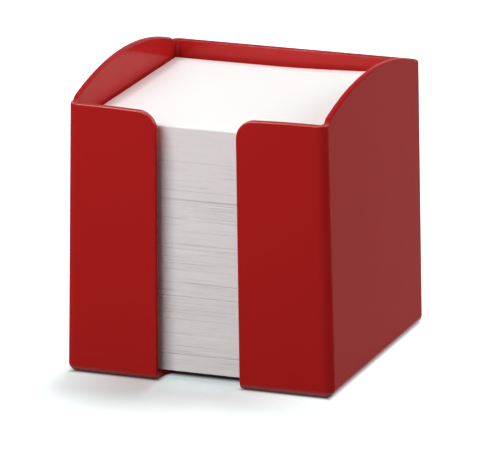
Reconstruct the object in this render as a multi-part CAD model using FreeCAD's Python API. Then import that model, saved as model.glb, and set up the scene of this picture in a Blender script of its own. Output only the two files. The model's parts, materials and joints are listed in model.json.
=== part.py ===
"""Note box: a moulded plastic box, open at the top, holding a tall stack of loose note sheets.

Lengths are in millimetres. +Z is up, the box stands on z = 0, the front with its slot faces -Y, and the
origin lies under the middle of the box. Every solid is written to parts/NODE.step in its rest place.
"""
import FreeCAD, Part
import math
import os

from FreeCAD import Vector

# --- Note sheets ---------------------------------------------------------------------------------------
NOTE_SIDE = 90.0                # width and depth of the square sheets
SHEET_THICKNESS = 0.11          # plain 80 g/m2 note paper
PACKET_SHEETS = (56, 62, 55, 50, 28, 35, 39, 18, 30, 26, 26, 43, 35, 22, 34, 35, 31, 27, 48)
FRESH_PACKET_SHEETS = 112       # the neat packet under the top note
TOP_NOTE_SHEETS = 1             # the note on top lies by itself
PACKET_SHIFT = 0.12             # how far a packet lies from the middle of the stack
PACKET_TWIST = 0.08             # degrees that a packet is turned on the one below

# --- Moulded walls -------------------------------------------------------------------------------------
WALL = 2.2                      # walls of the box
BASE = 2.8                      # floor of the box
SIDE_LEAN = 0.0235              # the side walls lean in by this much for each millimetre of height
BACK_LEAN = 0.025               # the back wall leans out by this much for each millimetre of height
CORNER_RADIUS = 3.4             # upright outer corners
FOOT_RADIUS = 3.0               # outer edges round the underside
INSIDE_CORNER_RADIUS = 1.2      # upright corners inside the box
INSIDE_FOOT_RADIUS = 0.8        # edges round the inside of the floor
RIM_RADIUS = 0.7                # rounding on every edge of the rim, the slot and the notch
RIM_WALL_SHARE = 0.4            # the rim's rounding takes no more than this share of the wall

# --- Room round the notes ------------------------------------------------------------------------------
SIDE_CLEARANCE = 0.7            # each side of the stack, where the walls come nearest
BACK_CLEARANCE = 0.3            # between the stack and the rounding at the foot of the back wall
FRONT_ROOM = 3.5                # between the stack and the inside of the cheeks

# --- Rim, slot and finger notch ------------------------------------------------------------------------
RIM_ABOVE_NOTES = 7.1           # rim of the cheeks at their outer corners, above the top note
BACK_RIM_DROP = 1.1             # the back wall's rim lies this far below that
CREST_RISE = 7.6                # crest of the side walls above the cheeks' rim
SHOULDER_RISE = 1.4             # the rim climbs this far out of each corner before its long arc starts
SHOULDER_RUN = 1.6              # length over which it climbs
SHOULDER_RADIUS = 1.6           # eases the rim into and out of that climb
CHEEK_FALL = 0.8                # the cheeks' tops curve down by this much towards the slot
CORNER_MARGIN = 0.6             # the rim stays straight this far past each rounded corner
SLOT_WIDTH = 31.0               # gap between the cheeks at the base
SLOT_LEAN = 0.007               # each edge of the slot leans in by this much for each millimetre of height
CHEEK_CORNER_RADIUS = 7.0       # upper inner corner of each cheek
NOTCH_DEPTH = 18.0              # finger notch in the floor, from the front of the box to its deepest point
NOTCH_STRAIGHT = 0.3            # stretch behind the cheeks over which the notch stays as wide as the slot

# --- Sizes that follow ---------------------------------------------------------------------------------
PACKETS_HEIGHT = sum(PACKET_SHEETS) * SHEET_THICKNESS
FRESH_PACKET_HEIGHT = FRESH_PACKET_SHEETS * SHEET_THICKNESS
TOP_NOTE_Z = BASE + PACKETS_HEIGHT + FRESH_PACKET_HEIGHT
RIM_Z = TOP_NOTE_Z + TOP_NOTE_SHEETS * SHEET_THICKNESS + RIM_ABOVE_NOTES
BACK_RIM_Z = RIM_Z - BACK_RIM_DROP
CREST_Z = RIM_Z + CREST_RISE

HALF_WIDTH = NOTE_SIDE / 2 + SIDE_CLEARANCE + SIDE_LEAN * CREST_Z + WALL
OUTER_DEPTH = 2 * WALL + FRONT_ROOM + NOTE_SIDE + BACK_CLEARANCE + INSIDE_FOOT_RADIUS - BACK_LEAN * BASE
RIM_ROUNDING = min(RIM_RADIUS, RIM_WALL_SHARE * WALL)
FRONT_Y = -(OUTER_DEPTH + BACK_LEAN * (BACK_RIM_Z - RIM_ROUNDING)) / 2
BACK_Y = FRONT_Y + OUTER_DEPTH
NOTES_FRONT_Y = FRONT_Y + WALL + FRONT_ROOM
NOTES_MIDDLE_Y = NOTES_FRONT_Y + NOTE_SIDE / 2
CORNER_RUN = max(CORNER_RADIUS, WALL + INSIDE_CORNER_RADIUS) + CORNER_MARGIN    # straight rim at a corner

OVERSHOOT = 10.0                # how far a cutting tool runs past what it cuts
TOUCH = 1e-4                    # lengths and distances below this count as none
SMOOTH_ANGLE = 5.0              # degrees up to which two faces run smoothly into each other
GOLDEN_ANGLE = math.pi * (3 - math.sqrt(5))


def leaning_block(inset, bottom_z, top_z, corner_radius, foot_radius):
    """Block between the planes of the four walls, moved in by inset, with its corners and foot rounded."""
    def ring(z):
        x = HALF_WIDTH - SIDE_LEAN * z - inset
        front = FRONT_Y + inset
        back = BACK_Y + BACK_LEAN * z - inset
        return [Vector(-x, front, z), Vector(x, front, z), Vector(x, back, z), Vector(-x, back, z)]

    def face(corners):
        return Part.Face(Part.makePolygon(corners + corners[:1]))

    low, high = ring(bottom_z), ring(top_z)
    faces = [face(low[::-1]), face(high)]
    for here in range(4):
        there = (here + 1) % 4
        faces.append(face([low[here], low[there], high[there], high[here]]))
    block = Part.makeSolid(Part.makeShell(faces))

    uprights = [edge for edge in block.Edges if edge.BoundBox.ZLength > TOUCH]
    block = block.makeFillet(corner_radius, uprights)
    foot = [edge for edge in block.Edges if edge.BoundBox.ZMax < bottom_z + TOUCH]
    return block.makeFillet(foot_radius, foot)


def rim_tool():
    """What lies above the rim: straight over the front and back walls, an arc over the side walls."""
    # The rim stays straight round the corners, climbs a short shoulder, and then runs on in one long arc.
    # The climb starts where its easing is clear of the corner.
    corner = CORNER_RUN + SHOULDER_RADIUS * math.tan(math.atan2(SHOULDER_RISE, SHOULDER_RUN) / 2)
    front = FRONT_Y + corner
    back = BACK_Y + BACK_LEAN * BACK_RIM_Z - corner
    middle = (front + back) / 2
    side = HALF_WIDTH + OVERSHOOT
    before, behind = front - corner - OVERSHOOT, back + corner + OVERSHOOT
    top_z = CREST_Z + OVERSHOOT + OVERSHOOT

    def at(y, z):
        return Vector(-side, y, z)

    arc_start = at(front + SHOULDER_RUN, RIM_Z + SHOULDER_RISE)
    arc_end = at(back - SHOULDER_RUN, BACK_RIM_Z + SHOULDER_RISE)
    outline = [
        Part.LineSegment(at(before, RIM_Z), at(front, RIM_Z)),
        Part.LineSegment(at(front, RIM_Z), arc_start),
        Part.Arc(arc_start, at(middle, CREST_Z), arc_end),
        Part.LineSegment(arc_end, at(back, BACK_RIM_Z)),
        Part.LineSegment(at(back, BACK_RIM_Z), at(behind, BACK_RIM_Z)),
        Part.LineSegment(at(behind, BACK_RIM_Z), at(behind, top_z)),
        Part.LineSegment(at(behind, top_z), at(before, top_z)),
        Part.LineSegment(at(before, top_z), at(before, RIM_Z)),
    ]
    wire = Part.Wire([piece.toShape() for piece in outline])
    tool = Part.Face(wire).extrude(Vector(side + side, 0, 0))

    def edges_across(places):
        """The tool's edges along X at places (y, z) of its outline."""
        return [edge for edge in tool.Edges
                if edge.BoundBox.YLength < TOUCH and edge.BoundBox.ZLength < TOUCH
                and any(abs(edge.BoundBox.YMin - place.y) < TOUCH and abs(edge.BoundBox.ZMin - place.z) < TOUCH
                        for place in places)]

    tool = tool.makeFillet(SHOULDER_RADIUS, edges_across([at(front, RIM_Z), at(back, BACK_RIM_Z)]))
    return tool.makeFillet(SHOULDER_RADIUS + RIM_ROUNDING, edges_across([arc_start, arc_end]))


def cheek_top_tool():
    """What lies above the cheeks' tops, which curve down from the corners towards the slot."""
    corner_x = HALF_WIDTH - SIDE_LEAN * RIM_Z - CORNER_RUN
    run = corner_x - slot_half_width(RIM_Z)
    radius = (run ** 2 + CHEEK_FALL ** 2) / (2 * CHEEK_FALL)
    top_z = CREST_Z + OVERSHOOT

    def at(x):
        """Point of the curve at x, before it mirrors at the middle of the slot."""
        fall = radius - math.sqrt(radius ** 2 - (corner_x - abs(x)) ** 2)
        return Vector(x, FRONT_Y - OVERSHOOT, RIM_Z - fall)

    def above(x):
        return Vector(x, FRONT_Y - OVERSHOOT, top_z)

    outline = [
        Part.Arc(at(-corner_x), at(-corner_x / 2), at(0)),
        Part.Arc(at(0), at(corner_x / 2), at(corner_x)),
        Part.LineSegment(at(corner_x), above(corner_x)),
        Part.LineSegment(above(corner_x), above(-corner_x)),
        Part.LineSegment(above(-corner_x), at(-corner_x)),
    ]
    wire = Part.Wire([piece.toShape() for piece in outline])
    return Part.Face(wire).extrude(Vector(0, OVERSHOOT + CORNER_RUN, 0))


def slot_half_width(z):
    """Half the gap between the cheeks at height z."""
    return SLOT_WIDTH / 2 - SLOT_LEAN * z


def gap_tool():
    """What is open in front: the slot between the cheeks, and the half-round finger notch in the floor."""
    bottom_z, top_z = -OVERSHOOT, CREST_Z + OVERSHOOT
    low, high = slot_half_width(bottom_z), slot_half_width(top_z)
    before = FRONT_Y - OVERSHOOT
    notch_start_y = FRONT_Y + WALL + NOTCH_STRAIGHT
    corners = [Vector(-low, before, bottom_z), Vector(low, before, bottom_z),
               Vector(high, before, top_z), Vector(-high, before, top_z)]
    outline = Part.makePolygon(corners + corners[:1])
    slot = Part.Face(outline).extrude(Vector(0, notch_start_y - before, 0))
    # The notch is a cone with the slope of the slot's edges, so that one runs smoothly into the other.
    notch_top_z = BASE + OVERSHOOT
    notch = Part.makeCone(low, slot_half_width(notch_top_z), notch_top_z - bottom_z,
                          Vector(0, 0, bottom_z), Vector(0, 0, 1), 360)
    to_depth = FreeCAD.Matrix()
    to_depth.scale(1, (FRONT_Y + NOTCH_DEPTH - notch_start_y) / slot_half_width(BASE), 1)
    notch = notch.transformGeometry(to_depth)
    notch.translate(Vector(0, notch_start_y, 0))
    return slot.fuse(notch).removeSplitter()


def sharp_edges(shape):
    """Edges at which two faces of a shape meet at an angle, and don't run smoothly on."""
    sharp = []
    for edge in shape.Edges:
        first, last = edge.ParameterRange
        middle = edge.valueAt((first + last) / 2)
        normals = [face.normalAt(*face.Surface.parameter(middle))
                   for face in shape.ancestorsOfType(edge, Part.Face)]
        if len(normals) == 2 and math.degrees(normals[0].getAngle(normals[1])) > SMOOTH_ANGLE:
            sharp.append(edge)
    return sharp


def holder():
    """The moulded box."""
    over_crest_z = CREST_Z + OVERSHOOT
    outside = leaning_block(0, 0, over_crest_z, CORNER_RADIUS, FOOT_RADIUS)
    inside = leaning_block(WALL, BASE, over_crest_z + OVERSHOOT, INSIDE_CORNER_RADIUS, INSIDE_FOOT_RADIUS)
    box = outside.cut(inside).cut(rim_tool()).cut(cheek_top_tool()).cut(gap_tool())

    def is_cheek_corner(edge):
        room = edge.BoundBox
        along_y = room.XLength < TOUCH and room.ZLength < TOUCH
        return along_y and room.ZMin > RIM_Z / 2 and abs(room.XMin) < slot_half_width(0)

    box = box.makeFillet(CHEEK_CORNER_RADIUS, [edge for edge in box.Edges if is_cheek_corner(edge)])
    # The walls are already rounded where they meet, so what is sharp was cut: rim, slot and notch.
    return box.makeFillet(RIM_ROUNDING, sharp_edges(box))


def packet(index, sheets, bottom_z):
    """A packet of sheets that lie neatly on each other, a little askew on the packet below."""
    direction = index * GOLDEN_ANGLE
    corner = Vector(-NOTE_SIDE / 2, -NOTE_SIDE / 2, 0)
    block = Part.makeBox(NOTE_SIDE, NOTE_SIDE, sheets * SHEET_THICKNESS, corner)
    block.rotate(Vector(0, 0, 0), Vector(0, 0, 1), PACKET_TWIST * math.sin(2 * direction))
    block.translate(Vector(PACKET_SHIFT * math.cos(direction),
                           NOTES_MIDDLE_Y + PACKET_SHIFT * math.sin(direction), bottom_z))
    return block


def note_stack():
    """Every packet of the stack by its name, from the floor of the box up."""
    solids = {}
    bottom_z = BASE
    for index, sheets in enumerate(PACKET_SHEETS, start=1):
        solids["note_packet_%02d" % index] = packet(index, sheets, bottom_z)
        bottom_z += sheets * SHEET_THICKNESS
    solids["fresh_packet"] = packet(0, FRESH_PACKET_SHEETS, bottom_z)
    solids["top_note"] = packet(len(solids), TOP_NOTE_SHEETS, TOP_NOTE_Z)
    return solids


def main():
    """Build every solid, write it to its file and say what was made."""
    os.makedirs("parts", exist_ok=True)
    for name, shape in {"holder": holder(), **note_stack()}.items():
        shape.exportStep(os.path.join("parts", name + ".step"))
        state = "valid" if shape.isValid() else "NOT VALID"
        print(name, state, "solids:", len(shape.Solids), "volume in mm3:", round(shape.Volume, 1))


main()
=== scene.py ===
"""Scene of a note box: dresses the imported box, builds its loose notes sheet by sheet, and lights the set.

Lengths are in metres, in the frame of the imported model: +Z up, the front with its slot faces -Y.
"""

import json
import logging
import math
import random
from dataclasses import dataclass, field
from enum import Enum

import bpy
from mathutils import Matrix, Vector, noise


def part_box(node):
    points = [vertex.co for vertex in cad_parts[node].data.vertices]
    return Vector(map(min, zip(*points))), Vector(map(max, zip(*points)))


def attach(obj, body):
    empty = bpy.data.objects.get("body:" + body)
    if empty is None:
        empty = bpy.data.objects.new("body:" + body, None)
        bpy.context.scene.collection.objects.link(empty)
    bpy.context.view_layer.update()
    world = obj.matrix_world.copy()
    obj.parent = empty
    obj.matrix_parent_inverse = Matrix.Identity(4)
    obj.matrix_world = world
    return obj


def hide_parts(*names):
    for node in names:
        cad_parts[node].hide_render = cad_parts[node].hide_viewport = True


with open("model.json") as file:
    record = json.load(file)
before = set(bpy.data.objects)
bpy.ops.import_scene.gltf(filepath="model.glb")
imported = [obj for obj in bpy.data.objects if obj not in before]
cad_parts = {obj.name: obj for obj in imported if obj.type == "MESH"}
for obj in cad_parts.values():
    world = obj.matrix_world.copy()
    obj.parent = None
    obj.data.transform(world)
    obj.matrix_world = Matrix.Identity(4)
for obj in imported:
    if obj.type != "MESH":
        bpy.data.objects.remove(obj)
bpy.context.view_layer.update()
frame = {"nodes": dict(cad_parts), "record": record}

LOG = logging.getLogger("note_box")
MM = 0.001
SHEET_PITCH = 0.11 * MM         # 80 g/m2 note paper, one sheet to the next
BOX_NODE = "holder"

Place = tuple[float, float]     # on a sheet, seen from above
Point = tuple[float, float, float]
Span = tuple[float, float]      # where something sets in, and where it is full
Number = float | bpy.types.NodeSocket


# --- Node and mesh helpers -----------------------------------------------------------------------------

def linear(hex_colour: str) -> tuple[float, float, float, float]:
    """Turn an sRGB hex colour into linear RGBA.

    Args:
        hex_colour: Colour such as "#B41A16".

    Returns:
        Linear red, green, blue and an alpha of 1.
    """
    channels = [int(hex_colour[place:place + 2], 16) / 255 for place in (1, 3, 5)]
    red, green, blue = [c / 12.92 if c <= 0.04045 else ((c + 0.055) / 1.055) ** 2.4 for c in channels]
    return red, green, blue, 1.0


def add_node(tree: bpy.types.NodeTree, kind: str, inputs: dict | None = None,
             **settings: object) -> bpy.types.Node:
    """Add a shader node with its settings and links.

    Args:
        tree: Node tree that takes the node.
        kind: Blender's name for the type of node.
        inputs: By input name or number, a value or the output socket to link.
        **settings: Attributes of the node itself.

    Returns:
        The new node.
    """
    node = tree.nodes.new(kind)
    for name, value in settings.items():
        setattr(node, name, value)
    for name, value in (inputs or {}).items():
        if isinstance(value, bpy.types.NodeSocket):
            tree.links.new(value, node.inputs[name])
        else:
            node.inputs[name].default_value = value
    return node


def ramp(tree: bpy.types.NodeTree, value: Number, span: Span, start: float = 0.0, end: float = 1.0,
         **settings: object) -> bpy.types.NodeSocket:
    """Turn a value into a weight that changes evenly over a span of it.

    Args:
        tree: Node tree that takes the node.
        value: The value.
        span: Its values at the start and the end, of which either may be the larger.
        start: Weight at the start of the span and before it.
        end: Weight at its end and past it.
        **settings: Attributes of the Map Range node.

    Returns:
        The weight's socket.
    """
    return add_node(tree, "ShaderNodeMapRange", {
        "Value": value, "From Min": span[0], "From Max": span[1], "To Min": start, "To Max": end},
        **settings).outputs["Result"]


def combine(tree: bpy.types.NodeTree, operation: str, first: Number,
            *others: Number) -> bpy.types.NodeSocket:
    """Combine numbers one after the other, such as by MULTIPLY or MAXIMUM.

    Args:
        tree: Node tree that takes the nodes.
        operation: The Math node's name for what it does.
        first: The first number.
        *others: Each of the rest.

    Returns:
        The socket of the result.
    """
    for other in others:
        first = add_node(tree, "ShaderNodeMath", {0: first, 1: other}, operation=operation).outputs[0]
    return first


def split(tree: bpy.types.NodeTree, vector: bpy.types.NodeSocket) -> dict[str, bpy.types.NodeSocket]:
    """Split a vector into its X, Y and Z."""
    return dict(add_node(tree, "ShaderNodeSeparateXYZ", {"Vector": vector}).outputs.items())


def grain(tree: bpy.types.NodeTree, place: bpy.types.NodeSocket, size: float, detail: float,
          roughness: float = 0.5) -> bpy.types.NodeSocket:
    """Give an uneven pattern.

    Args:
        tree: Node tree that takes the node.
        place: Socket of the coordinates.
        size: Length of one blot of the pattern.
        detail: How many times it breaks up into finer ones.
        roughness: How strong the finer ones are.

    Returns:
        The socket of its strength, about 0.5 on average.
    """
    return add_node(tree, "ShaderNodeTexNoise", {
        "Vector": place, "Scale": 1 / size, "Detail": detail, "Roughness": roughness}).outputs["Fac"]


def bump(tree: bpy.types.NodeTree, height: bpy.types.NodeSocket, distance: float,
         strength: float = 1.0) -> bpy.types.NodeSocket:
    """Turn a pattern into a relief.

    Args:
        tree: Node tree that takes the node.
        height: Socket of the pattern.
        distance: Height of the relief.
        strength: Share of it that is used.

    Returns:
        The socket of its normals.
    """
    return add_node(tree, "ShaderNodeBump", {
        "Height": height, "Distance": distance, "Strength": strength}).outputs["Normal"]


def mix_colours(tree: bpy.types.NodeTree, share: bpy.types.NodeSocket, low: str | bpy.types.NodeSocket,
                high: str) -> bpy.types.NodeSocket:
    """Blend two colours.

    Args:
        tree: Node tree that takes the node.
        share: Socket that gives 0 for the low colour and 1 for the high one.
        low: sRGB hex colour, or the socket of a colour.
        high: sRGB hex colour.

    Returns:
        The blend's colour socket.
    """
    low = linear(low) if isinstance(low, str) else low
    # A Mix node has a set of sockets for each data type: its colours are numbers 6 and 7 in, 2 out.
    return add_node(tree, "ShaderNodeMix", {0: share, 6: low, 7: linear(high)}, data_type="RGBA").outputs[2]


def seen_share(tree: bpy.types.NodeTree) -> bpy.types.NodeSocket:
    """Give a socket that is 1 for rays that are seen: straight, in a mirror or through glass."""
    ray = add_node(tree, "ShaderNodeLightPath").outputs
    return combine(tree, "MAXIMUM", ray["Is Camera Ray"], ray["Is Glossy Ray"], ray["Is Transmission Ray"])


def new_material(name: str) -> tuple[bpy.types.Material, bpy.types.NodeTree]:
    """Make an empty node material.

    Args:
        name: Name of the finish.

    Returns:
        The material and its cleared node tree.
    """
    material = bpy.data.materials.new(name)
    material.use_nodes = True
    material.node_tree.nodes.clear()
    return material, material.node_tree


def output(tree: bpy.types.NodeTree, shader: bpy.types.Node) -> None:
    """Link a shader to the material's output."""
    add_node(tree, "ShaderNodeOutputMaterial", {"Surface": shader.outputs[0]})


def add_object(name: str, data: bpy.types.ID) -> bpy.types.Object:
    """Put data into the scene as an object.

    Args:
        name: Name of the object.
        data: Its mesh, lamp or camera.

    Returns:
        The object.
    """
    thing = bpy.data.objects.new(name, data)
    bpy.context.scene.collection.objects.link(thing)
    return thing


# --- Finishes ------------------------------------------------------------------------------------------

@dataclass(frozen=True)
class GlossPolystyrene:
    """Impact polystyrene, pigmented red right through and injection-moulded in a polished mould.

    To the eye: one deep even red. The edges of the front, the foot and the inside keep the mirror of the
    mould, so they catch the light, the floor and the paper, while the outer walls and the other rims, which
    hands and cloths rub, show hardly anything of the room. Long faint waves come from the shrinking of the
    walls as they cooled.
    """

    colour: str = "#BE2423"
    deep_colour: str = "#BA2221"    # where the pigment lies a touch denser
    painted_shade_rim_colour: str = "#A41A1B"     # painted shade on skin that faces up behind the front, and on level rims everywhere
    roughness: Span = (0.31, 0.335)     # of the rubbed skin, from its cleanest to its most handled spots
    handled: Span = (0.35, 0.7)     # strengths of the handling marks for those
    ior: float = 1.5
    specular_level: float = 0.011
    coat_roughness: float = 0.07    # of the skin that still mirrors the mould
    coat_ior: float = 1.59
    rim_polish: float = 0.015       # weights of the mirror
    edge_polish: float = 0.65       # the edges of the front and the foot
    flat_polish: float = 0.12       # share of it on level rims
    inside_polish: float = 0.19     # sheets that go in and out dull the side walls' inside
    back_polish: float = 0.30       # and the back wall's less
    front: float = -45.5 * MM       # where the front begins
    front_edge: float = 2 * MM      # and how much further its edges are bright
    inside: Span = (-5 * MM, -15 * MM)  # place times normal, on skin that faces inward
    # How far the skin turns up or down (Z of its normal) or to the front (Y).
    rounded: Span = (0.15, 0.4)     # on a rounded edge
    level: Span = (0.9, 0.98)       # on a level rim
    under: Span = (-0.03, -0.5)     # where the foot turns under
    forward: Span = (-0.3, -0.8)    # on the back wall's inside
    rim: Span = (0.1, 0.5)          # on skin that takes the painted rim shade
    level_rim: Span = (0.8, 0.95)   # and on a level one, which takes it also at the front
    wave_length: float = 24 * MM    # moulding waves
    wave_height: float = 0.0025 * MM
    flow_length: float = 60 * MM    # pigment clouds
    wipe_length: float = 9 * MM     # marks of handling

    def edge_weight(self, tree: bpy.types.NodeTree, place: bpy.types.Node) -> bpy.types.NodeSocket:
        """Weigh the mirror on the rounded edges.

        Args:
            tree: The material's nodes.
            place: Its texture coordinates.

        Returns:
            The weight's socket.
        """
        up = split(tree, place.outputs["Normal"])["Z"]
        steep = add_node(tree, "ShaderNodeMath", {0: up}, operation="ABSOLUTE").outputs[0]
        depth = split(tree, place.outputs["Object"])["Y"]
        at_front = (self.front, self.front - self.front_edge)
        ahead = ramp(tree, depth, at_front, self.rim_polish, self.edge_polish)
        rounded = ramp(tree, steep, self.rounded)
        level = ramp(tree, steep, self.level, 1.0, self.flat_polish)
        foot = ramp(tree, up, self.under, 0.0, self.edge_polish)
        return combine(tree, "MAXIMUM", combine(tree, "MULTIPLY", ahead, rounded, level), foot)

    def inside_weight(self, tree: bpy.types.NodeTree, place: bpy.types.Node) -> bpy.types.NodeSocket:
        """Weigh the mirror on the inner walls, which face the middle of the box.

        Args:
            tree: The material's nodes.
            place: Its texture coordinates.

        Returns:
            The weight's socket.
        """
        # Place times normal is above zero on skin that faces out of the box, and below zero inside.
        normal = place.outputs["Normal"]
        flat = add_node(tree, "ShaderNodeVectorMath",
                        {0: place.outputs["Object"], 1: (1.0, 1.0, 0.0)}, operation="MULTIPLY")
        outward = add_node(tree, "ShaderNodeVectorMath", {0: flat.outputs[0], 1: normal},
                           operation="DOT_PRODUCT").outputs["Value"]
        inside = ramp(tree, outward, self.inside)
        wall = ramp(tree, split(tree, normal)["Y"], self.forward, self.inside_polish, self.back_polish)
        return combine(tree, "MULTIPLY", inside, wall)

    def pigment(self, tree: bpy.types.NodeTree, place: bpy.types.Node) -> bpy.types.NodeSocket:
        """Colour the body in faint clouds, with painted shade on its rims that face up.

        Args:
            tree: The material's nodes.
            place: Its texture coordinates.

        Returns:
            The colour's socket.
        """
        spot = place.outputs["Object"]
        up = split(tree, place.outputs["Normal"])["Z"]
        clouds = grain(tree, spot, self.flow_length, detail=2.0)
        body = mix_colours(tree, clouds, self.colour, self.deep_colour)
        # Painted shade: skin that faces up behind the front, and level skin anywhere, takes the darker rim
        # colour.
        behind = ramp(tree, split(tree, spot)["Y"], (self.front - self.front_edge, self.front))
        rim = combine(tree, "MULTIPLY", ramp(tree, up, self.rim), behind)
        rim = combine(tree, "MAXIMUM", rim, ramp(tree, up, self.level_rim))
        return mix_colours(tree, rim, body, self.painted_shade_rim_colour)

    def material(self) -> bpy.types.Material:
        """Build the finish.

        Returns:
            The material.
        """
        material, tree = new_material("injection_moulded_gloss_polystyrene_red")
        place = add_node(tree, "ShaderNodeTexCoord")
        spot = place.outputs["Object"]
        polish = combine(tree, "MAXIMUM", self.edge_weight(tree, place), self.inside_weight(tree, place))
        marks = grain(tree, spot, self.wipe_length, detail=4.0)
        waves = bump(tree, grain(tree, spot, self.wave_length, detail=1.0), self.wave_height)
        output(tree, add_node(tree, "ShaderNodeBsdfPrincipled", {
            "Base Color": self.pigment(tree, place),
            "Roughness": ramp(tree, marks, self.handled, *self.roughness),
            "IOR": self.ior, "Specular IOR Level": self.specular_level, "Normal": waves,
            "Coat Weight": polish, "Coat Roughness": self.coat_roughness, "Coat IOR": self.coat_ior,
            "Coat Normal": waves}))
        return material


class PaperSide(Enum):
    """Which side of a note sheet a finish is for."""

    FACE = "face"
    EDGE = "edge"


@dataclass(frozen=True)
class WoodFreePaper:
    """White wood-free note paper, 80 g/m2, machine-finished and cut to size in a guillotine.

    To the eye: a matt, even white with a fine fibre tooth. The cut edges of a stack are painted a touch
    lighter than the faces, as painted light, in thin level bands of sheets that took the blade a little
    differently.
    """

    face_colour: str = "#EEEDEC"
    # painted light: the cut edges are coloured lighter than the faces
    painted_light_edge_colour: str = "#FDF8F9"
    edge_shade: str = "#F6F1F2"     # in the darker bands, still painted lighter than the faces
    roughness: float = 0.75
    ior: float = 1.5
    specular_level: float = 0.2
    fibre: float = 0.35 * MM
    fibre_height: float = 0.006 * MM
    fibre_strength: float = 0.6
    band: float = 1.3 * MM          # height of a band of like sheets
    band_stretch: float = 0.1       # its height as a share of its length
    band_detail: float = 4.0
    band_roughness: float = 0.7
    band_contrast: Span = (0.3, 0.7)

    def material(self, side: PaperSide) -> bpy.types.Material:
        """Build the finish of a sheet's face or of its cut edges.

        Args:
            side: The side of the sheet.

        Returns:
            The material.
        """
        material, tree = new_material("wood_free_note_paper_" + side.value)
        place = add_node(tree, "ShaderNodeTexCoord").outputs["Object"]
        colour = linear(self.face_colour)
        if side is PaperSide.EDGE:
            # Bands run level round the stack, thin in height and fading after a centimetre or two.
            level = add_node(tree, "ShaderNodeMapping", {
                "Vector": place, "Scale": (self.band_stretch, self.band_stretch, 1.0)}).outputs["Vector"]
            bands = grain(tree, level, self.band, self.band_detail, self.band_roughness)
            bands = ramp(tree, bands, self.band_contrast)
            colour = mix_colours(tree, bands, self.edge_shade, self.painted_light_edge_colour)
        tooth = bump(tree, grain(tree, place, self.fibre, detail=3.0), self.fibre_height, self.fibre_strength)
        output(tree, add_node(tree, "ShaderNodeBsdfPrincipled", {
            "Base Color": colour, "Roughness": self.roughness, "IOR": self.ior,
            "Specular IOR Level": self.specular_level, "Normal": tooth}))
        return material


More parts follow.
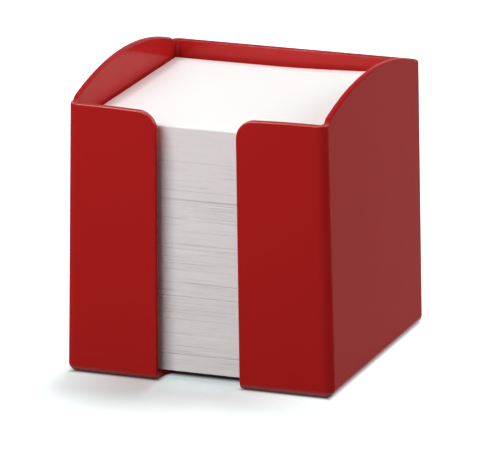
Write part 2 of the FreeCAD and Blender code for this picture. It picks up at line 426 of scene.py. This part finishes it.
@dataclass(frozen=True)
class SeamlessSweep:
    """Matt white studio paper for the floor, which keeps the object's shadow.

    To the eye: white all round, with the lamps' own shadow, a painted shadow in front of the object and
    behind it, painted light on the floor before the slot, and a painted dark contact line along the object's
    foot. The painted shadow and line are where the paper's own glow, which makes it white elsewhere, is
    weaker.
    """

    seen_colour: str = "#FFFFFF"
    bounce_colour: str = "#8C8C8C"
    glow_colour: str = "#F0FFFF"    # takes the blush of the red walls out of the shadow
    glow: float = 0.39              # in the middle of the painted shadow; 1 is white by itself
    patch_x: float = -12 * MM       # middle of the painted shadow
    patch_y: float = 52 * MM        # in front, and as far behind
    patch_half_x: float = 72 * MM   # from its middle to where it ends
    patch_half_y: float = 95 * MM
    foot_x: float = 47.1 * MM       # from the middle of the object, where the glow sets in; inside it is painted contact shade
    foot_y: float = 48.0 * MM
    fade: float = 3.5 * MM
    slot_x: Span = (17 * MM, 14 * MM)       # painted light: the glow stays on under the open slot, between its edges
    slot_y: Span = (-39.5 * MM, -43 * MM)   # and from where the painted shade under the notes ends
    painted_light_gain: float = 1.38         # painted light: a brighter pool on the floor ahead of the slot's left part
    gain_x: Span = (12 * MM, -6 * MM)
    gain_y: Span = (-72 * MM, -56 * MM)

    def patch(self, tree: bpy.types.NodeTree, across: bpy.types.NodeSocket,
              deep: bpy.types.NodeSocket) -> bpy.types.NodeSocket:
        """Paint a shadow: weaken the glow in an oval patch in front of the object and another behind it.

        Args:
            tree: The material's nodes.
            across: Place from left to right.
            deep: Distance in front of the middle or behind it.

        Returns:
            The glow's socket.
        """
        right = ramp(tree, across, (self.patch_x, self.patch_x + self.patch_half_x), clamp=False)
        out = ramp(tree, deep, (self.patch_y, self.patch_y + self.patch_half_y), clamp=False)
        away = add_node(tree, "ShaderNodeCombineXYZ", {"X": right, "Y": out})
        away = add_node(tree, "ShaderNodeVectorMath", {0: away.outputs[0]}, operation="LENGTH")
        return ramp(tree, away.outputs["Value"], (0.0, 1.0), self.glow, interpolation_type="SMOOTHSTEP")

    def strength(self, tree: bpy.types.NodeTree) -> bpy.types.NodeSocket:
        """Say how strongly the paper glows, by where it is, which paints its shadows and its light.

        Args:
            tree: The material's nodes.

        Returns:
            The glow's socket.
        """
        place = add_node(tree, "ShaderNodeTexCoord").outputs["Object"]
        spot = split(tree, place)
        aside = split(tree, add_node(tree, "ShaderNodeVectorMath", {0: place},
                                     operation="ABSOLUTE").outputs["Vector"])
        # Painted contact shade: the glow fades out under the object and along its foot, but for the slot.
        open_floor = combine(tree, "MAXIMUM", *(
            ramp(tree, aside[axis], (foot, foot + self.fade), interpolation_type="SMOOTHSTEP")
            for axis, foot in (("X", self.foot_x), ("Y", self.foot_y))))
        slot = combine(tree, "MULTIPLY", ramp(tree, aside["X"], self.slot_x),
                       ramp(tree, spot["Y"], self.slot_y))
        # Painted light: a brighter pool on the floor ahead of the slot's left part.
        painted_light_pool = combine(tree, "MULTIPLY", slot, ramp(tree, spot["X"], self.gain_x),
                          ramp(tree, spot["Y"], self.gain_y))
        gain = ramp(tree, painted_light_pool, (0.0, 1.0), 1.0, self.painted_light_gain)
        lit = combine(tree, "MAXIMUM", open_floor, slot)
        return combine(tree, "MULTIPLY", self.patch(tree, spot["X"], aside["Y"]), lit, gain)

    def material(self) -> bpy.types.Material:
        """Build the finish: white where it is seen, dimmer in the light that it throws back up.

        Returns:
            The material.
        """
        material, tree = new_material("matt_white_studio_paper")
        white = add_node(tree, "ShaderNodeBsdfDiffuse", {"Color": linear(self.seen_colour)})
        glow = add_node(tree, "ShaderNodeEmission", {
            "Color": linear(self.glow_colour), "Strength": self.strength(tree)})
        shown = add_node(tree, "ShaderNodeAddShader", {0: white.outputs[0], 1: glow.outputs[0]})
        dim = add_node(tree, "ShaderNodeBsdfDiffuse", {"Color": linear(self.bounce_colour)})
        output(tree, add_node(tree, "ShaderNodeMixShader", {
            0: seen_share(tree), 1: dim.outputs[0], 2: shown.outputs[0]}))
        return material


# --- The moulded box -----------------------------------------------------------------------------------

@dataclass
class MouldedBox:
    """The one-piece box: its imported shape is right, so it is dressed where it stands."""

    node: str = BOX_NODE
    finish: GlossPolystyrene = field(default_factory=GlossPolystyrene)

    def dress(self) -> None:
        """Give the box its finish."""
        box = frame["nodes"][self.node]
        box.data.materials.clear()
        box.data.materials.append(self.finish.material())
        LOG.info("dressed %s", self.node)


# --- The loose notes -----------------------------------------------------------------------------------

@dataclass(frozen=True)
class SheetGrid:
    """Points of one square sheet, as a grid from -1 to 1 each way, closer together in the middle."""

    cells: int = 30                 # along a side
    side: float = 90 * MM
    middle_share: float = 0.55      # of the even spacing, in the middle of a side

    def steps(self) -> list[float]:
        """Places along a side."""
        even = [2 * step / self.cells - 1 for step in range(self.cells + 1)]
        return [t * (self.middle_share + (1 - self.middle_share) * t * t) for t in even]

    def spots(self) -> list[Place]:
        """Every point of the grid, row by row from the front left corner."""
        steps = self.steps()
        return [(x, y) for y in steps for x in steps]

    def rim(self) -> list[int]:
        """Numbers of the points round the edge.

        Returns:
            The numbers, counter-clockwise from the front left corner.
        """
        cells, wide = self.cells, self.cells + 1
        front = list(range(cells))
        right = [row * wide + cells for row in range(cells)]
        back = [cells * wide + column for column in range(cells, 0, -1)]
        left = [row * wide for row in range(cells, 0, -1)]
        return front + right + back + left

    def squares(self) -> list[tuple[int, ...]]:
        """The grid's faces, each by its four points and facing up."""
        wide = self.cells + 1
        return [(row * wide + column, row * wide + column + 1, (row + 1) * wide + column + 1,
                 (row + 1) * wide + column) for row in range(self.cells) for column in range(self.cells)]


@dataclass(frozen=True)
class Stretch:
    """A stretch of a sheet's edge that sticks out or lies back."""

    stray: float                    # out of the stack, or below zero into it
    middle: float                   # along the side, from -1 to 1
    reach: float                    # half its length

    def at(self, along: float) -> float:
        """How far the edge strays at a place along the side."""
        return self.stray * max(0.0, 1 - ((along - self.middle) / self.reach) ** 2)


@dataclass(frozen=True)
class Neatness:
    """How true the sheets of a packet lie, and how straight their edges are."""

    slip: float                     # of a sheet beside the next
    turn: float                     # degrees that a sheet is turned
    ripple: float                   # height of the waves along a cut edge
    proud: float                    # chance that a stretch of an edge sticks out
    shy: float                      # chance that a stretch lies back and leaves a thin dark gap
    reach: float = 0.08 * MM        # how far a proud stretch sticks out, at most
    depth: float = 0.42 * MM        # how far a shy one lies back, at most
    chances: int = 3                # that a side has of a stretch
    least: float = 0.35             # share of reach or depth that a stretch has at least
    ends: float = 1.1               # how far from the middle of the side a stretch can lie
    shortest: float = 0.05          # half the length of the shortest stretch
    longest: float = 1.0            # and of the longest

    def stretches(self, draws: random.Random) -> list[Stretch]:
        """Draw the stretches of one side of a sheet.

        Args:
            draws: The sheet's own random draws.

        Returns:
            Its stretches, most often none.
        """
        found = []
        for _ in range(self.chances):
            kind, amount = draws.random(), self.least + (1 - self.least) * draws.random()
            middle = draws.uniform(-self.ends, self.ends)
            reach = self.shortest * (self.longest / self.shortest) ** draws.random()
            if kind < self.proud:
                found.append(Stretch(self.reach * amount, middle, reach))
            elif kind < self.proud + self.shy:
                found.append(Stretch(-self.depth * amount, middle, reach))
        return found


FRESH = Neatness(slip=0.005 * MM, turn=0.005, ripple=0.010 * MM, proud=0.01, shy=0.02, reach=0.04 * MM,
                 depth=0.15 * MM)
LEAFED = Neatness(slip=0.008 * MM, turn=0.012, ripple=0.02 * MM, proud=0.06, shy=0.08)


@dataclass(frozen=True)
class Waves:
    """Waves along the cut edges, which change slowly from one sheet to the next."""

    pace: float                     # waves for half a side
    change: float                   # of the pattern, a sheet
    share: float                    # of the packet's ripple

    def height(self, x: float, y: float, sheet: int) -> float:
        """How high the waves are at a place of a sheet, as a share of the packet's ripple."""
        return noise.noise(Vector((x * self.pace, y * self.pace, sheet * self.change))) * self.share


@dataclass(frozen=True)
class Wander:
    """How the pile strays from the upright as it grows."""

    amount: float = 0.03 * MM
    sheets: int = 40                # over which it strays
    rows: tuple[float, float] = (3.1, 7.7)      # of the pattern, one for each direction
    layer: float = 0.5              # of the pattern, one for both

    def at(self, sheet: int) -> list[float]:
        """How far a sheet strays to the right and to the back."""
        return [noise.noise(Vector((sheet / self.sheets, row, self.layer))) * self.amount
                for row in self.rows]


@dataclass(frozen=True)
class Seam:
    """The lowest sheets of a packet, which lie back under the next."""

    sheets: int = 1
    depth: float = 0.04 * MM


@dataclass(frozen=True)
class CornerLift:
    """The way the top sheets rise towards their back right corner, where they have taken up some damp."""

    rise: float = 1.9 * MM
    start: float = 0.9              # of x + y, where the rise begins
    run: float = 1.1
    bend: float = 1.5               # how late it grows steep
    depth: float = 3.0 * MM         # below the top, where sheets lie flat again

    def height(self, x: float, y: float, below: float) -> float:
        """How far a point of a sheet rises.

        Args:
            x: Place on the sheet, from -1 on the left to 1.
            y: Place on the sheet, from -1 in front to 1.
            below: Distance of the sheet below the top of the packet.

        Returns:
            The rise.
        """
        along = max(0.0, (x + y - self.start) / self.run)
        return self.rise * along ** self.bend * max(0.0, 1 - below / self.depth) ** 2


@dataclass
class Skin:
    """The closed skin of a packet, which grows from its lowest sheet up."""

    vertices: list[Point] = field(default_factory=list)
    faces: list[tuple[int, ...]] = field(default_factory=list)
    sides: list[PaperSide] = field(default_factory=list)    # of the sheets, one for each face

    def lay(self, points: list[Point]) -> list[int]:
        """Add points.

        Args:
            points: The points.

        Returns:
            Their numbers in the skin.
        """
        start = len(self.vertices)
        self.vertices += points
        return list(range(start, len(self.vertices)))

    def join(self, lower: list[int], upper: list[int]) -> None:
        """Join two rings of points by a strip of cut edge.

        Args:
            lower: Numbers of the lower ring's points.
            upper: Numbers of as many points above them.
        """
        for here in range(len(lower)):
            there = (here + 1) % len(lower)
            self.faces.append((lower[here], lower[there], upper[there], upper[here]))
            self.sides.append(PaperSide.EDGE)

    def climb(self, ring: list[int], points: list[Point]) -> list[int]:
        """Add a ring of points and join it to the one below.

        Args:
            ring: Numbers of the lower ring's points.
            points: The points above them.

        Returns:
            Numbers of the new ring's points.
        """
        upper = self.lay(points)
        self.join(ring, upper)
        return upper

    def cover(self, squares: list[tuple[int, ...]]) -> None:
        """Close an end with the face of a sheet."""
        self.faces += squares
        self.sides += [PaperSide.FACE] * len(squares)


@dataclass
class NotePacket:
    """A packet of loose sheets, built sheet by sheet as one closed skin with every sheet's edge on it."""

    node: str
    body: str
    first_sheet: int                # counted from the bottom of the whole stack
    paper: dict[PaperSide, bpy.types.Material]
    neatness: Neatness = LEAFED
    lift: CornerLift | None = None
    seam: Seam = field(default_factory=Seam)
    grid: SheetGrid = field(default_factory=SheetGrid)
    wander: Wander = field(default_factory=Wander)
    waves: tuple[Waves, ...] = (Waves(pace=1.6, change=0.31, share=1.0),
                                Waves(pace=7.0, change=0.9, share=0.5))
    true: float = 0.4               # share of its solid's shift that a packet keeps

    def count(self) -> int:
        """How many sheets the packet has."""
        low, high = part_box(self.node)
        return max(1, round((high[2] - low[2]) / SHEET_PITCH))

    def outline(self, sheet: int, numbers: list[int]) -> list[Place]:
        """Where some of the grid's points of one sheet lie, seen from above.

        Args:
            sheet: The sheet's number in the whole stack.
            numbers: The points' numbers in the grid.

        Returns:
            Their places, in that order.
        """
        low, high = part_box(self.node)
        draws = random.Random(sheet)
        neat, half = self.neatness, self.grid.side / 2
        if sheet < self.first_sheet + self.seam.sheets:
            half -= self.seam.depth
        spots = self.grid.spots()
        wander = self.wander.at(sheet)
        slip = [draws.gauss(0, neat.slip) for _ in range(2)]
        turn = math.radians(draws.gauss(0, neat.turn))
        middle = [self.true * (low[axis] + high[axis]) / 2 + wander[axis] + slip[axis] for axis in range(2)]
        front, right, back, left = [neat.stretches(draws) for _ in range(4)]
        points = []
        for x, y in (spots[number] for number in numbers):
            out = half
            for waves in self.waves:
                out += waves.height(x, y, sheet) * neat.ripple
            across, deep = x * out, y * out
            if abs(x) == 1:
                across += x * sum(stretch.at(y) for stretch in (right if x > 0 else left))
            if abs(y) == 1:
                deep += y * sum(stretch.at(x) for stretch in (back if y > 0 else front))
            points.append((middle[0] + across - turn * deep, middle[1] + deep + turn * across))
        return points

    def raised(self, flat: list[Place], numbers: list[int], z: float, below: float) -> list[Point]:
        """Lift points of a sheet to their height.

        Args:
            flat: The points, seen from above.
            numbers: Their numbers in the grid.
            z: Height of the sheet where it lies flat.
            below: Distance of that height below the top of the packet.

        Returns:
            The points.
        """
        if not self.lift:
            return [(x, y, z) for x, y in flat]
        spots = self.grid.spots()
        rises = [self.lift.height(*spots[number], below) for number in numbers]
        return [(x, y, z + rise) for (x, y), rise in zip(flat, rises)]

    def skin(self) -> Skin:
        """Build the packet's skin.

        Returns:
            The skin, closed at both ends.
        """
        low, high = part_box(self.node)
        count = self.count()
        pitch = (high[2] - low[2]) / count
        rim, squares = self.grid.rim(), self.grid.squares()
        everywhere = list(range((self.grid.cells + 1) ** 2))
        skin, ring = Skin(), []
        for sheet in range(count):
            bottom, top = sheet == 0, sheet == count - 1
            numbers = everywhere if bottom or top else rim
            flat = self.outline(self.first_sheet + sheet, numbers)
            edge = [flat[number] for number in rim] if bottom or top else flat
            z = low[2] + sheet * pitch
            if bottom:
                laid = skin.lay(self.raised(flat, numbers, z, high[2] - z))
                skin.cover([tuple(laid[n] for n in reversed(square)) for square in squares])
                ring = [laid[n] for n in rim]
            else:
                ring = skin.climb(ring, self.raised(edge, rim, z, high[2] - z))
            z += pitch
            if top:
                laid = skin.lay(self.raised(flat, numbers, z, high[2] - z))
                skin.join(ring, [laid[n] for n in rim])
                skin.cover([tuple(laid[n] for n in square) for square in squares])
            else:
                ring = skin.climb(ring, self.raised(edge, rim, z, high[2] - z))
        return skin

    def build(self) -> bpy.types.Object:
        """Build the packet's mesh, dress it and let it stand for its solid.

        Returns:
            The packet's object.
        """
        skin = self.skin()
        name = "notes_" + self.node
        mesh = bpy.data.meshes.new(name)
        mesh.from_pydata(skin.vertices, [], skin.faces)
        mesh.update()
        for material in self.paper.values():
            mesh.materials.append(material)
        order = list(self.paper)
        mesh.polygons.foreach_set("material_index", [order.index(side) for side in skin.sides])
        mesh.polygons.foreach_set("use_smooth", [side is PaperSide.FACE for side in skin.sides])
        piece = add_object(name, mesh)
        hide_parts(self.node)
        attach(piece, self.body)
        LOG.info("built %s: %d sheets", piece.name, self.count())
        return piece


@dataclass
class NoteStack:
    """Every packet of the stack, from the floor of the box up."""

    leafed_body: str = "note_stack"     # its packets have been leafed through, the ones above haven't
    gap: float = 1.1 * MM           # depth of the seams that show as dark lines
    gap_sheets: dict[str, int] = field(default_factory=lambda: {
        "note_packet_02": 3, "note_packet_06": 3, "note_packet_12": 1, "fresh_packet": 2})

    def build(self) -> None:
        """Build all packets, each on the body that its solid rides on."""
        finish = WoodFreePaper()
        paper = {side: finish.material(side) for side in PaperSide}
        bodies = frame["record"]["behaviour"]["bodies"]
        nodes = [(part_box(node)[0][2], node, body)
                 for body, names in bodies.items() for node in names if node != BOX_NODE]
        first = 0
        for _, node, body in sorted(nodes):
            packet = NotePacket(node, body, first, paper)
            if node in self.gap_sheets:
                packet.seam = Seam(self.gap_sheets[node], self.gap)
            if body != self.leafed_body:
                packet.neatness, packet.lift = FRESH, CornerLift()
            packet.build()
            first += packet.count()


# --- The studio ----------------------------------------------------------------------------------------

def direction(azimuth: float, elevation: float) -> Vector:
    """Unit vector from the object towards a place round it.

    Args:
        azimuth: Degrees round the object, 0 in front and 90 on the right.
        elevation: Degrees above the floor.

    Returns:
        The vector.
    """
    turn, rise = math.radians(azimuth), math.radians(elevation)
    return Vector((math.sin(turn) * math.cos(rise), -math.cos(turn) * math.cos(rise), math.sin(rise)))


@dataclass(frozen=True)
class SoftBox:
    """A square soft light, aimed at the middle of the object."""

    name: str
    azimuth: float                  # degrees, 0 in front and 90 on the right
    elevation: float
    distance: float
    size: float
    power: float                    # watts
    on_floor: bool = True           # False for a light that passes the floor by and leaves no shadow there

    def build(self, target: Vector, floor: bpy.types.Object) -> None:
        """Hang the light.

        Args:
            target: Where it aims.
            floor: The floor, which it passes by unless on_floor.
        """
        data = bpy.data.lights.new(self.name, "AREA")
        data.shape = "SQUARE"
        data.size = self.size
        data.energy = self.power
        lamp = add_object(self.name, data)
        away = direction(self.azimuth, self.elevation)
        lamp.location = target + away * self.distance
        lamp.rotation_euler = away.to_track_quat("Z", "Y").to_euler()
        if not self.on_floor:
            passed = bpy.data.collections.new(self.name + "_passes_by")
            passed.objects.link(floor)
            passed.collection_objects[0].light_linking.link_state = "EXCLUDE"
            lamp.light_linking.receiver_collection = passed


@dataclass
class Studio:
    """Floor, world, lights and camera."""

    target: Vector = field(default_factory=lambda: Vector((1.06, -0.69, 40.56)) * MM)
    azimuth: float = 20.82
    elevation: float = 16.57
    roll: float = -0.43
    distance: float = 2098 * MM
    lens: float = 421.2             # in millimetres
    sensor: float = 36.0            # in millimetres, like the lens
    clip_start: float = 0.05
    world_light: float = 0.12       # strength of the white world as a light
    floor_half: float = 4.0
    floor_gap: float = 0.05 * MM    # keeps the floor clear of the underside that stands on it
    lights: tuple[SoftBox, ...] = (
        SoftBox("front_left_light", -18, 30, 0.6, 0.45, 2.22, on_floor=False),
        SoftBox("spark_light", -36, 55, 0.8, 0.06, 0.45, on_floor=False),
        SoftBox("front_right_light", 28, 18, 1.2, 0.5, 0.15, on_floor=False),
        SoftBox("right_light", 110, 30, 1.2, 0.5, 5.4, on_floor=False),
        SoftBox("back_left_light", 235, 40, 1.2, 0.5, 1.8, on_floor=False),
        SoftBox("top_light", 182, 78, 1.2, 0.22, 4.3),
        SoftBox("top_back_light", 172, 66, 1.2, 0.2, 2.0),
    )

    def build_floor(self) -> bpy.types.Object:
        """Lay the floor, a hair under the foot of the box.

        Returns:
            The floor.
        """
        half, z = self.floor_half, -self.floor_gap
        mesh = bpy.data.meshes.new("floor")
        mesh.from_pydata([(-half, -half, z), (half, -half, z), (half, half, z), (-half, half, z)], [],
                         [(0, 1, 2, 3)])
        mesh.materials.append(SeamlessSweep().material())
        floor = add_object("floor", mesh)
        return floor

    def build_world(self) -> None:
        """Set the world: white to the eye, dim as a light."""
        world = bpy.data.worlds.new("studio")
        bpy.context.scene.world = world
        world.use_nodes = True
        tree = world.node_tree
        tree.nodes.clear()
        dim, white = [add_node(tree, "ShaderNodeBackground", {"Color": (1, 1, 1, 1), "Strength": strength})
                      for strength in (self.world_light, 1.0)]
        mix = add_node(tree, "ShaderNodeMixShader", {
            0: seen_share(tree), 1: dim.outputs[0], 2: white.outputs[0]})
        add_node(tree, "ShaderNodeOutputWorld", {"Surface": mix.outputs[0]})

    def build_camera(self) -> None:
        """Set the camera on the object."""
        data = bpy.data.cameras.new("camera")
        data.sensor_width = self.sensor
        data.lens = self.lens
        data.clip_start = self.clip_start
        camera = add_object("camera", data)
        away = direction(self.azimuth, self.elevation)
        turn = away.to_track_quat("Z", "Y").to_matrix() @ Matrix.Rotation(math.radians(self.roll), 3, "Z")
        camera.location = self.target + away * self.distance
        camera.rotation_euler = turn.to_euler()
        bpy.context.scene.camera = camera

    def build(self) -> None:
        """Set up the whole studio."""
        self.build_camera()
        floor = self.build_floor()
        self.build_world()
        for light in self.lights:
            light.build(self.target, floor)
        bpy.context.scene.view_settings.view_transform = "Standard"


def main() -> None:
    """Build the studio, then the box, then its notes."""
    logging.basicConfig(level=logging.INFO, format="%(message)s")
    Studio().build()
    MouldedBox().dress()
    NoteStack().build()


if __name__ == "__main__":
    main()
